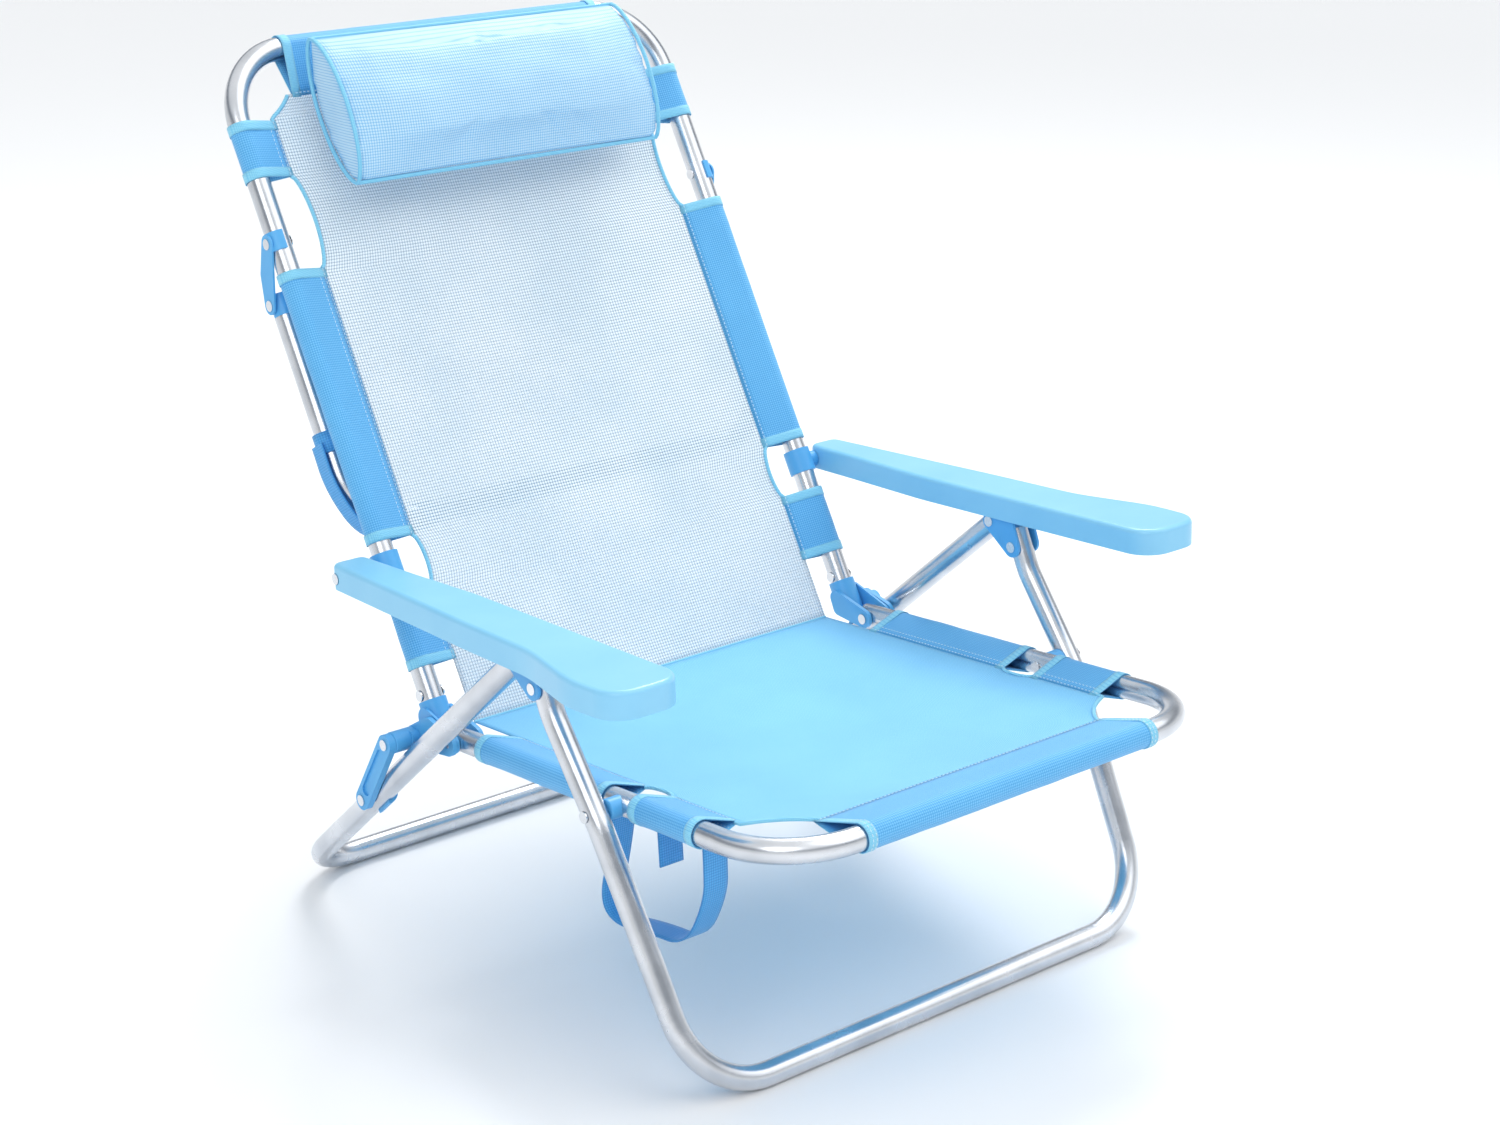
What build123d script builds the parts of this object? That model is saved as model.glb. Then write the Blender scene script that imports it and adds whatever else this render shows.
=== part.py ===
from build123d import *
from math import cos, radians, sin
import os

os.makedirs("parts", exist_ok=True)

# A low folding beach chair. X runs across the chair (+X is the sitter's left), the sitter faces -Y,
# and Z is up. The origin is on the ground under the middle of the chair. Millimetres and degrees.

# Tube stock
TUBE_D = 22.0
TUBE_WALL = 1.4
# Overall sizes
SEAT_HALF = 250.0        # middle plane to the centre line of a seat rail or back rail
SEAT_LENGTH = 441.0      # hinge pin to the centre line of the seat's front bar
SEAT_RISE = 4.5          # the seat rises towards the front
HINGE_HEIGHT = 213.5     # hinge pin above the ground
BACK_LENGTH = 678.0      # hinge pin's level to the centre line of the top bar, along the back
BACK_LEAN = 30.4         # the back leans rearwards from the vertical
BACK_OFFSET = TUBE_D + 9.0   # back rail behind the hinge pin, so that the rails stack when folded
FRONT_BEND = 75.0        # bend radius of the seat's front corners and the front leg's feet
TOP_BEND = 72.0
REAR_BEND = 60.0
STAY_BEND = 60.0
LEG_GAP = 10.4           # between a seat rail and a leg, side by side
# Legs, seen from the side and measured from the hinge pin
LEG_PIVOT = 237.7        # hinge pin to front leg rivet, along the seat rail
FRONT_TOP = (-164.0, 128.5)
FRONT_RIVET = (-171.0, 113.5)
FRONT_KNEE_UP = (-182.0, 89.5)
FRONT_KNEE_LOW = (-244.0, 9.5)
FRONT_FOOT_Y = -360.0
FRONT_FOOT_TUCK = 14.0   # each front foot stands this much nearer the middle than the leg's top
KNEE_BEND = 70.0
BRACKET_PITCH = 36.0     # between the two rivets of an armrest bracket
BRACKET_TILT = 31.0
RACK_STUD = (10.0, 32.0) # the stud that the armrest's rack hooks over, from the front rivet
REAR_FOOT_Y = 238.0
REAR_LEG_TOP = 10.0      # rear leg above its rivet
# Hinge and link
ELBOW_ARM = (54.0, -8.5)     # knuckle from the hinge pin
LINK_DROP = 316.0        # link rivet from the bracket's rear rivet, down the rear leg
# Rear stay
STAY_OFFSET = TUBE_D + 8.0   # stay behind the back frame
STAY_PIVOT_S = 442.0
STAY_BAR_S = 218.0
HANGER_RIVET_S = 492.0
# Armrests
ARMREST_PIVOT_S = 175.0
ARMREST_SLOPE = 2.9
ARMREST_LENGTH = 461.0   # pivot to front end
ARMREST_RISE = 13.6      # top face above the pivot
ARMREST_DEPTH = 24.0
ARMREST_WALL = 2.0
ARMREST_EDGE = 4.5
ARMREST_REAR = 8.0       # the shell runs on behind its pivot
PIN_SLEEVE_R = 5.6       # clear of the shell's rear wall
ARMREST_NOSE_BEND = 27.0
ARMREST_REAR_BEND = 9.0
RACK_PITCH = 12.0
RACK_TEETH = 7
RACK_W = 6.0
RACK_NOTCH_R = 3.6
RACK_CLEAR = 1.2         # between the stud and the teeth
STUD_R = 3.0
STUD_OUT = 9.0
# Small parts
RIVET_D = 6.0
FIT = 0.05               # radial clearance of a rivet in a hole
GAP = 0.4                # between faces that pass each other
PLATE = 2.6              # each plate of an armrest bracket
HANGER_PLATE = 1.8
SHOE_EAR = 2.5
ELBOW_PLATE = 4.5
CUP_WALL = 2.0
SLING_T = 3.0
SLING_EDGE = 7.0         # the sling's flat part stops this far inside the tubes
PILLOW_HALF = 178.0
WEBBING_W = 25.0
WEBBING_T = 2.0

# Worked out from the sizes above
TUBE_R = TUBE_D / 2
BORE_R = TUBE_R - TUBE_WALL
RIVET_R = RIVET_D / 2
LEG_HALF = SEAT_HALF + TUBE_D + LEG_GAP
RAIL_OUT = SEAT_HALF + TUBE_R
RAIL_IN = SEAT_HALF - TUBE_R
LEG_IN = LEG_HALF - TUBE_R
LEG_OUT = LEG_HALF + TUBE_R
BACK_TOP_Y = BACK_OFFSET * cos(radians(BACK_LEAN)) + BACK_LENGTH * sin(radians(BACK_LEAN))
SEAT_FRONT_Y = -SEAT_LENGTH * cos(radians(SEAT_RISE))
HINGE_Y = -(BACK_TOP_Y + SEAT_FRONT_Y) / 2      # puts the origin under the middle of the chair
HINGE = Vector(HINGE_Y, HINGE_HEIGHT)


def side(y, z):
    """A point in the side view, given from the hinge pin."""
    return HINGE + Vector(y, z)


def on_seat(along, above=0.0):
    """A point in the side view, given along the seat rail towards the front, and above it."""
    a = radians(SEAT_RISE)
    return HINGE + Vector(-cos(a) * along + sin(a) * above, sin(a) * along + cos(a) * above)


def on_back(along, behind=0.0):
    """A point in the side view, given up the back rail from the hinge pin's level, and behind it."""
    a = radians(BACK_LEAN)
    behind = behind + BACK_OFFSET
    return HINGE + Vector(sin(a) * along + cos(a) * behind, cos(a) * along - sin(a) * behind)


def at(x, point):
    """A side-view point in space, at x across the chair."""
    return (x, point.X, point.Y)


def bent_tube(points, radii, outer=TUBE_R, bore=BORE_R):
    """Adds a round tube with bends to the part that is being built."""
    with BuildLine(mode=Mode.PRIVATE) as route:
        FilletPolyline(*points, radius=radii)
    with BuildSketch(Plane(origin=route.line @ 0, z_dir=route.line % 0), mode=Mode.PRIVATE) as ring:
        Circle(outer)
        Circle(bore, mode=Mode.SUBTRACT)
    sweep(ring.sketch, path=route.line)


def u_frame(end, corner, half, bend):
    """Adds a U: up one side from its open end, round two corners and back down the other side."""
    bent_tube([at(-half, end), at(-half, corner), at(half, corner), at(half, end)], [bend, bend])


def webbing(points, radii, width):
    """Adds a strap that lies across X, along a route in space."""
    with BuildLine(mode=Mode.PRIVATE) as route:
        FilletPolyline(*points, radius=radii)
    with BuildSketch(Plane(origin=route.line @ 0, x_dir=(1, 0, 0), z_dir=route.line % 0),
                     mode=Mode.PRIVATE) as strip:
        Rectangle(width, WEBBING_T)
    sweep(strip.sketch, path=route.line)


def cross_pin(point, x_from, x_to, radius, mode=Mode.ADD):
    """A round bar or hole across the chair."""
    with Locations(Location(at((x_from + x_to) / 2, point), (0, 90, 0))):
        Cylinder(radius, abs(x_to - x_from), mode=mode)


def rivet_hole(point, x_from, x_to):
    cross_pin(point, x_from, x_to, RIVET_R + FIT, Mode.SUBTRACT)


def rivet(point, x_from, x_to, heads=(True, True), head_r=5.2, head_t=1.2):
    """A rivet across the chair, its heads outside the two faces that it holds."""
    step = 1 if x_to > x_from else -1
    cross_pin(point, x_from, x_to, RIVET_R)
    if heads[0]:
        cross_pin(point, x_from - step * head_t, x_from, head_r)
    if heads[1]:
        cross_pin(point, x_to, x_to + step * head_t, head_r)


def blend_of(*circles):
    """The outline that wraps a few circles, each (point, radius), in the side view."""
    with BuildSketch(mode=Mode.PRIVATE) as outline:
        for point, radius in circles:
            with Locations((point.X, point.Y)):
                Circle(radius)
        make_hull()
    return outline.sketch


def plate_of(x_from, x_to, *circles, mode=Mode.ADD):
    """Adds a flat plate across x, with the outline that wraps the circles."""
    low, high = min(x_from, x_to), max(x_from, x_to)
    with BuildSketch(Plane.YZ.offset(low), mode=Mode.PRIVATE) as face:
        add(blend_of(*circles))
    extrude(face.sketch, amount=high - low, dir=(1, 0, 0), mode=mode)


def write(part, name):
    part.label = name
    export_step(part, f"parts/{name}.step")


def write_pair(builder, name):
    """Writes a part of the sitter's left side, and its mirror image for the right side."""
    write(builder.part, f"{name}_left")
    write(mirror(builder.part, about=Plane.YZ, mode=Mode.PRIVATE), f"{name}_right")


# Pivots in the side view
leg_pivot = on_seat(LEG_PIVOT)
front_rivet = side(*FRONT_RIVET)
rear_rivet = front_rivet + Vector(BRACKET_PITCH, 0).rotate(Axis.Z, BRACKET_TILT)
front_foot = Vector(HINGE.X + FRONT_FOOT_Y, TUBE_R)
rear_foot = Vector(HINGE.X + REAR_FOOT_Y, TUBE_R)
rear_leg_way = (rear_foot - rear_rivet).normalized()
link_low = rear_rivet + rear_leg_way * LINK_DROP
knuckle = side(*ELBOW_ARM)
armrest_pivot = on_back(ARMREST_PIVOT_S)
stay_pivot = on_back(STAY_PIVOT_S, STAY_OFFSET)
hanger_rivet = on_back(HANGER_RIVET_S)
rack_stud = front_rivet + Vector(*RACK_STUD)

# ---- Seat ----
RAIL_END = 10.0
seat_corner = on_seat(SEAT_LENGTH)
with BuildPart() as seat_frame:
    u_frame(on_seat(-RAIL_END), seat_corner, SEAT_HALF, FRONT_BEND)
    for sign in (-1, 1):
        rivet_hole(HINGE, sign * (RAIL_IN - 1), sign * (RAIL_OUT + 1))
        rivet_hole(leg_pivot, sign * (RAIL_IN - 1), sign * (RAIL_OUT + 1))
write(seat_frame.part, "seat_frame")

inset = TUBE_R + SLING_EDGE
with BuildPart() as seat_sling:
    rear, front = on_seat(12.0), on_seat(SEAT_LENGTH - inset)
    mid = (rear + front) * 0.5
    with BuildSketch(Plane(origin=at(0, mid), x_dir=(1, 0, 0), z_dir=(0, sin(radians(SEAT_RISE)),
                                                                     cos(radians(SEAT_RISE))))):
        length = (front - rear).length
        Rectangle(2 * (SEAT_HALF - inset), length)
        fillet(vertices().group_by(Axis.Y)[0], FRONT_BEND - inset)
    extrude(amount=SLING_T / 2, both=True)
write(seat_sling.part, "seat_sling")

# A carry strap hangs in a loop under the seat, beside the right rail, with a short tab behind it.
strap_x = -(SEAT_HALF - inset - WEBBING_W / 2)
sewn = 0.5               # a strap's end goes this far into the sling that it is sewn to
with BuildPart() as carry_strap:
    under = SLING_T / 2 - sewn
    loop = [on_seat(316.0, -under), on_seat(316.0, -72.0), side(-292.0, -99.5), side(-240.0, -105.5),
            side(-195.0, -115.5), side(-174.0, -100.0), side(-188.0, -50.0), on_seat(200.0, -under)]
    webbing([at(strap_x, point) for point in loop], [20, 20, 40, 14, 11, 20], WEBBING_W)
write(carry_strap.part, "carry_strap")

with BuildPart() as strap_tab:
    webbing([at(strap_x, on_seat(256.0, -under)), at(strap_x, on_seat(254.0, -30.0)),
             at(strap_x, on_seat(256.0, -58.0))], [60], WEBBING_W)
write(strap_tab.part, "strap_tab")

# A saddle on the rail keeps the front leg clear of the sling's sleeve.
with BuildPart() as leg_spacer:
    cross_pin(leg_pivot, SEAT_HALF + 6.0, LEG_IN - GAP, 9.5)
    fillet(edges().filter_by(GeomType.CIRCLE).sort_by(Axis.X)[-1], 1.5)
    bar = Location(at(SEAT_HALF, leg_pivot), (90 - SEAT_RISE, 0, 0))
    with Locations(bar):
        Cylinder(TUBE_R + 0.05, 60, mode=Mode.SUBTRACT)
    rivet_hole(leg_pivot, SEAT_HALF, LEG_IN)
write_pair(leg_spacer, "leg_spacer")

with BuildPart() as leg_rivets:
    for sign in (-1, 1):
        rivet(leg_pivot, sign * (RAIL_IN - 0.1), sign * (LEG_OUT + 0.2))
write(leg_rivets.part, "leg_rivets")

with BuildPart() as rail_plugs:
    for sign in (-1, 1):
        end = on_seat(-RAIL_END)
        way = (on_seat(1.0) - on_seat(0.0)).normalized()
        with BuildSketch(Plane(origin=at(sign * SEAT_HALF, end), z_dir=(0, way.X, way.Y))):
            Circle(BORE_R - 0.1)
        extrude(amount=4.0)
write(rail_plugs.part, "rail_plugs")

# ---- Hinge pins, which turn in the rail ends ----
ear_in = RAIL_IN - GAP
ear_out = RAIL_OUT + GAP
elbow_in = ear_out + SHOE_EAR + 0.9
elbow_out = elbow_in + ELBOW_PLATE
with BuildPart() as hinge_pin:
    rivet(HINGE, ear_in - 4.0 - 0.3, elbow_out - 0.5, heads=(True, False))
write_pair(hinge_pin, "hinge_pin")

# ---- Hinge elbows ----
boss_out = LEG_OUT + 0.4
with BuildPart() as hinge_elbow:
    plate_of(elbow_in, elbow_out, (HINGE, 10.5), (knuckle, 10.5), (side(30.0, 8.0), 9.0))
    cross_pin(knuckle, elbow_out - 1.0, boss_out, 10.0)
    fillet(edges().filter_by(GeomType.CIRCLE).sort_by(Axis.X)[-1], 1.2)
    plate_of(elbow_out - 1.0, elbow_out + 8.0, (knuckle, 9.0), (knuckle + Vector(-6.0, 3.0), 6.0))
    rivet_hole(HINGE, elbow_in - 1, elbow_out + 1)
write_pair(hinge_elbow, "hinge_elbow")

# ---- Back ----
RAIL_LOW_S = 24.0
back_corner = on_back(BACK_LENGTH)
with BuildPart() as back_frame:
    u_frame(on_back(RAIL_LOW_S), back_corner, SEAT_HALF, TOP_BEND)
    for sign in (-1, 1):
        rivet_hole(hanger_rivet, sign * (RAIL_IN - 1), sign * (RAIL_OUT + 1))
        rivet_hole(on_back(52.0), sign * (RAIL_IN - 1), sign * (RAIL_OUT + 1))
write(back_frame.part, "back_frame")

lean = radians(BACK_LEAN)
back_up = (0, sin(lean), cos(lean))
back_out = (0, cos(lean), -sin(lean))
with BuildPart() as back_sling:
    low, high = on_back(52.0), on_back(BACK_LENGTH - inset)
    with BuildSketch(Plane(origin=at(0, (low + high) * 0.5), x_dir=(1, 0, 0), z_dir=back_out)):
        Rectangle(2 * (SEAT_HALF - inset), (high - low).length)
        fillet(vertices().group_by(Axis.Z)[-1], TOP_BEND - inset)
    extrude(amount=SLING_T / 2, both=True)
write(back_sling.part, "back_sling")

# A shoe closes the bottom of each back rail and hangs it on the hinge pin.
cup_r = TUBE_R + CUP_WALL
with BuildPart() as back_shoe:
    with BuildSketch(Plane(origin=at(SEAT_HALF, on_back(12.0)), z_dir=back_up)):
        Circle(cup_r)
    extrude(amount=34.0)
    with BuildSketch(Plane(origin=at(SEAT_HALF, on_back(RAIL_LOW_S - 0.2)), z_dir=back_up)):
        Circle(TUBE_R + 0.02)
    extrude(amount=60.0, mode=Mode.SUBTRACT)
    plate_of(ear_in - 4.0, ear_in, (HINGE, 9.5), (on_back(30.0, -1.0), 8.0), (on_back(20.0), 8.0))
    plate_of(ear_out, ear_out + SHOE_EAR, (HINGE, 9.5), (on_back(30.0), 11.0), (on_back(22.0), 9.0))
    with BuildSketch(Plane(origin=at(SEAT_HALF, on_back(RAIL_LOW_S - 0.2)), z_dir=back_up)):
        Circle(TUBE_R + 0.02)
    extrude(amount=60.0, mode=Mode.SUBTRACT)
    rivet_hole(HINGE, ear_in - 5.0, ear_out + SHOE_EAR + 1.0)
write_pair(back_shoe, "back_shoe")

with BuildPart() as rail_rivets:
    for sign in (-1, 1):
        rivet(on_back(52.0), sign * (RAIL_IN - 0.1), sign * (RAIL_OUT + 0.1), head_t=1.4)
write(rail_rivets.part, "rail_rivets")

# A clip round each back rail carries the armrest's pin.
clip_r = TUBE_R + 2.4
arm_in = RAIL_OUT + 9.0
arm_out = RAIL_OUT + 44.8
with BuildPart() as armrest_clip:
    with BuildSketch(Plane(origin=at(SEAT_HALF, on_back(ARMREST_PIVOT_S - 12.0)), z_dir=back_up)):
        Circle(clip_r)
        Circle(TUBE_R + 0.02, mode=Mode.SUBTRACT)
    extrude(amount=24.0)
    cross_pin(armrest_pivot, RAIL_OUT - 0.5, arm_in - 0.9, 8.0)
    with BuildSketch(Plane(origin=at(SEAT_HALF, on_back(ARMREST_PIVOT_S - 14.0)), z_dir=back_up)):
        Circle(TUBE_R + 0.02)
    extrude(amount=28.0, mode=Mode.SUBTRACT)
    rivet_hole(armrest_pivot, RAIL_OUT + 1.4, arm_in + 1.0)
write_pair(armrest_clip, "armrest_clip")

# A hanger on each back rail carries the rear stay.
hanger_out = RAIL_OUT + GAP + HANGER_PLATE
with BuildPart() as stay_hanger:
    plate_of(RAIL_OUT + GAP, hanger_out, (hanger_rivet, 9.0), (stay_pivot, 8.5),
             (on_back(468.0, 20.0), 9.0))
    with BuildSketch(Plane(origin=at(SEAT_HALF, on_back(HANGER_RIVET_S - 9.0)), x_dir=(1, 0, 0),
                           z_dir=back_up)):
        Circle(TUBE_R + 2.0)
        Circle(TUBE_R + 0.02, mode=Mode.SUBTRACT)
        Rectangle(4 * TUBE_R, 4 * TUBE_R, align=(Align.MAX, Align.CENTER), mode=Mode.SUBTRACT)
    extrude(amount=18.0)
    rivet_hole(hanger_rivet, RAIL_IN - 4.0, hanger_out + 1)
    rivet_hole(stay_pivot, RAIL_IN - 4.0, hanger_out + 1)
write_pair(stay_hanger, "stay_hanger")

with BuildPart() as hanger_rivets:
    for sign in (-1, 1):
        rivet(hanger_rivet, sign * (RAIL_IN - 0.1), sign * hanger_out, head_t=0.8)
write(hanger_rivets.part, "hanger_rivets")

# ---- Rear stay ----
STAY_TOP_S = 430.0
with BuildPart() as rear_stay:
    u_frame(on_back(STAY_TOP_S, STAY_OFFSET), on_back(STAY_BAR_S, STAY_OFFSET), SEAT_HALF, STAY_BEND)
write(rear_stay.part, "rear_stay")

with BuildPart() as stay_sleeve:
    with BuildSketch(Plane(origin=at(SEAT_HALF, on_back(STAY_TOP_S - 16.0, STAY_OFFSET)), z_dir=back_up)):
        Circle(TUBE_R - 0.3)
    extrude(amount=STAY_PIVOT_S - STAY_TOP_S + 25.0)
    with BuildSketch(Plane(origin=at(SEAT_HALF, on_back(STAY_TOP_S - 17.0, STAY_OFFSET)), z_dir=back_up)):
        Circle(TUBE_R + 5)
        Circle(BORE_R - 0.1, mode=Mode.SUBTRACT)
    extrude(amount=17.2, mode=Mode.SUBTRACT)
    rivet_hole(stay_pivot, RAIL_IN - 1, RAIL_OUT + 1)
write_pair(stay_sleeve, "stay_sleeve")

# A strap is tied round the stay's right corner, with a cuff on each side of it.
with BuildPart() as stay_strap:
    around = TUBE_R + 0.2
    side_top = on_back(STAY_BAR_S + STAY_BEND + 26.0, STAY_OFFSET)
    bar = on_back(STAY_BAR_S, STAY_OFFSET)
    bar_x = -(SEAT_HALF - STAY_BEND - 14.0)
    for cuff in (Plane(origin=at(-SEAT_HALF, side_top), z_dir=back_up),
                 Plane(origin=at(bar_x, bar), z_dir=(1, 0, 0))):
        with BuildSketch(cuff):
            Circle(around + WEBBING_T)
            Circle(around, mode=Mode.SUBTRACT)
        extrude(amount=WEBBING_W / 2, both=True)
    below = on_back(STAY_BAR_S - around - WEBBING_T / 2, STAY_OFFSET)
    out_x = -(SEAT_HALF + around + WEBBING_T / 2)
    with BuildLine(mode=Mode.PRIVATE) as corner_route:
        FilletPolyline(at(out_x, side_top), at(out_x, below), at(bar_x, below), radius=STAY_BEND + around)
    with BuildSketch(Plane(origin=corner_route.line @ 0, x_dir=back_out, z_dir=corner_route.line % 0),
                     mode=Mode.PRIVATE) as strip:
        Rectangle(WEBBING_W - 5.0, WEBBING_T)
    sweep(strip.sketch, path=corner_route.line)
write(stay_strap.part, "stay_strap")

with BuildPart() as stay_rivets:
    for sign in (-1, 1):
        rivet(stay_pivot, sign * (RAIL_IN - 0.1), sign * hanger_out, head_t=0.8)
write(stay_rivets.part, "stay_rivets")

# ---- Head pillow ----
PILLOW_LOW_S = 522.0
PILLOW_HIGH_S = 662.0
PILLOW_DEPTH = 62.0
with BuildPart() as head_pillow:
    middle = on_back((PILLOW_LOW_S + PILLOW_HIGH_S) / 2, -TUBE_R - 3.0 - PILLOW_DEPTH / 2)
    with BuildSketch(Plane(origin=at(-PILLOW_HALF, middle), x_dir=back_up, z_dir=(1, 0, 0))):
        Ellipse((PILLOW_HIGH_S - PILLOW_LOW_S) / 2, PILLOW_DEPTH / 2)
    extrude(amount=2 * PILLOW_HALF)
write(head_pillow.part, "head_pillow")

# ---- Front leg ----
knee_up, knee_low = side(*FRONT_KNEE_UP), side(*FRONT_KNEE_LOW)
foot_half = LEG_HALF - FRONT_FOOT_TUCK
with BuildPart() as front_leg:
    route = [(LEG_HALF, side(*FRONT_TOP)), (LEG_HALF, knee_up), (LEG_HALF, knee_low),
             (foot_half, front_foot)]
    there = [at(-x, point) for x, point in route]
    back_again = [at(x, point) for x, point in reversed(route)]
    bent_tube(there + back_again, [KNEE_BEND, KNEE_BEND, FRONT_BEND, FRONT_BEND, KNEE_BEND, KNEE_BEND])
    for sign in (-1, 1):
        rivet_hole(front_rivet, sign * (LEG_IN - 1), sign * (LEG_OUT + 1))
        rivet_hole(leg_pivot, sign * (LEG_IN - 1), sign * (LEG_OUT + 1))
write(front_leg.part, "front_leg")

# ---- Armrest brackets: a plate each side of the two leg tops, with a stud for the armrest's rack ----
plate_in = LEG_IN - 0.6
plate_out = LEG_OUT + 0.6
with BuildPart() as armrest_bracket:
    outline = [(front_rivet, 10.0), (rear_rivet, 7.5), (rack_stud, 7.0)]
    plate_of(plate_in - PLATE, plate_in, *outline)
    plate_of(plate_out, plate_out + PLATE, *outline)
    cross_pin(rack_stud, plate_out + 1.0, plate_out + PLATE + STUD_OUT, STUD_R)
    for point in (front_rivet, rear_rivet):
        rivet_hole(point, plate_in - PLATE - 1, plate_out + PLATE + 1)
write_pair(armrest_bracket, "armrest_bracket")

for name, point in (("bracket_front_rivets", front_rivet), ("bracket_rear_rivets", rear_rivet)):
    with BuildPart() as bracket_rivets:
        for sign in (-1, 1):
            rivet(point, sign * (plate_in - PLATE), sign * (plate_out + PLATE), head_t=0.9)
    write(bracket_rivets.part, name)

# ---- Rear leg ----
with BuildPart() as rear_leg:
    u_frame(rear_rivet - rear_leg_way * REAR_LEG_TOP, rear_foot, LEG_HALF, REAR_BEND)
    for sign in (-1, 1):
        rivet_hole(rear_rivet, sign * (LEG_IN - 1), sign * (LEG_OUT + 1))
        rivet_hole(link_low, sign * (LEG_IN - 1), sign * (LEG_OUT + 1))
write(rear_leg.part, "rear_leg")

# ---- Links ----
LINK_T = 7.0
link_in = boss_out + 0.4
link_out = link_in + LINK_T
link_way = (knuckle - link_low).normalized()
with BuildPart() as link:
    plate_of(link_in, link_out, (link_low, 9.5), (knuckle, 9.5))
    across = Vector(-link_way.Y, link_way.X)
    for face in (link_in, link_out - 2.0):
        low, high = link_low + link_way * 15.0, knuckle - link_way * 15.0
        plate_of(face, face + 2.0, (low, 5.5), (high, 5.5), mode=Mode.SUBTRACT)
    rivet_hole(link_low, link_in - 1, link_out + 1)
    rivet_hole(knuckle, link_in - 1, link_out + 1)
write_pair(link, "link")

with BuildPart() as link_low_rivets:
    for sign in (-1, 1):
        rivet(link_low, sign * (LEG_IN - 3.2), sign * link_out, head_t=1.4)
write(link_low_rivets.part, "link_low_rivets")

with BuildPart() as link_top_rivets:
    for sign in (-1, 1):
        rivet(knuckle, sign * link_in, sign * link_out, heads=(False, True), head_t=1.4)
write(link_top_rivets.part, "link_top_rivets")

# A keeper under the inner side of the rear leg backs each link rivet.
with BuildPart() as link_keeper:
    middle = link_low - rear_leg_way * 12.0
    with BuildSketch(Plane(origin=at(LEG_HALF, middle), x_dir=(1, 0, 0),
                           z_dir=(0, rear_leg_way.X, rear_leg_way.Y))):
        Circle(TUBE_R + 3.0)
        Circle(TUBE_R + 0.05, mode=Mode.SUBTRACT)
        Rectangle(60, 60, align=(Align.MIN, Align.CENTER), mode=Mode.SUBTRACT)
    extrude(amount=24.0)
    rivet_hole(link_low, LEG_IN - 8.0, LEG_HALF)
write_pair(link_keeper, "link_keeper")

# ---- Armrests ----
# The plan's points are measured from the pivot towards the front, and outwards from the back rail's
# outer side. Each armrest is a shell that is open below, with a rack of teeth over the bracket's stud.
arm_slope = radians(ARMREST_SLOPE)
arm_plane = Plane(origin=at(0, armrest_pivot), x_dir=(0, -cos(arm_slope), sin(arm_slope)),
                  z_dir=(0, sin(arm_slope), cos(arm_slope)))
inner_edge = [(-ARMREST_REAR, 9.0), (56.0, 7.0), (166.0, 1.6), (ARMREST_LENGTH, 7.0)]
outer_edge = [(ARMREST_LENGTH, 81.0), (400.0, 83.0), (320.0, 62.5), (216.0, 58.0), (-ARMREST_REAR, 44.0)]
armrest_bends = [ARMREST_REAR_BEND, 400.0, 400.0, ARMREST_NOSE_BEND, ARMREST_NOSE_BEND, 120.0, 160.0,
                 400.0, ARMREST_REAR_BEND]
reach = armrest_pivot.X - rack_stud.X
rise = rack_stud.Y - armrest_pivot.Y
stud_ahead = Vector(cos(arm_slope) * reach + sin(arm_slope) * rise,
                    cos(arm_slope) * rise - sin(arm_slope) * reach)


def on_armrest(ahead, above):
    """A side-view point, given ahead of the armrest's pivot and above it, along the armrest."""
    return armrest_pivot + Vector(-cos(arm_slope) * ahead + sin(arm_slope) * above,
                                  sin(arm_slope) * ahead + cos(arm_slope) * above)


def armrest_plan(inset):
    """The armrest's plan, drawn in by inset on every side."""
    rear = -ARMREST_REAR + inset
    front = ARMREST_LENGTH - inset
    inner = [(min(max(x, rear), front), RAIL_OUT + y + inset) for x, y in inner_edge]
    outer = [(min(max(x, rear), front), RAIL_OUT + y - inset) for x, y in outer_edge]
    bends = [bend - inset for bend in armrest_bends]
    with BuildSketch(mode=Mode.PRIVATE) as plan:
        with BuildLine():
            FilletPolyline(*inner, *outer, radius=bends, close=True)
        make_face()
    return plan.sketch_local


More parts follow.
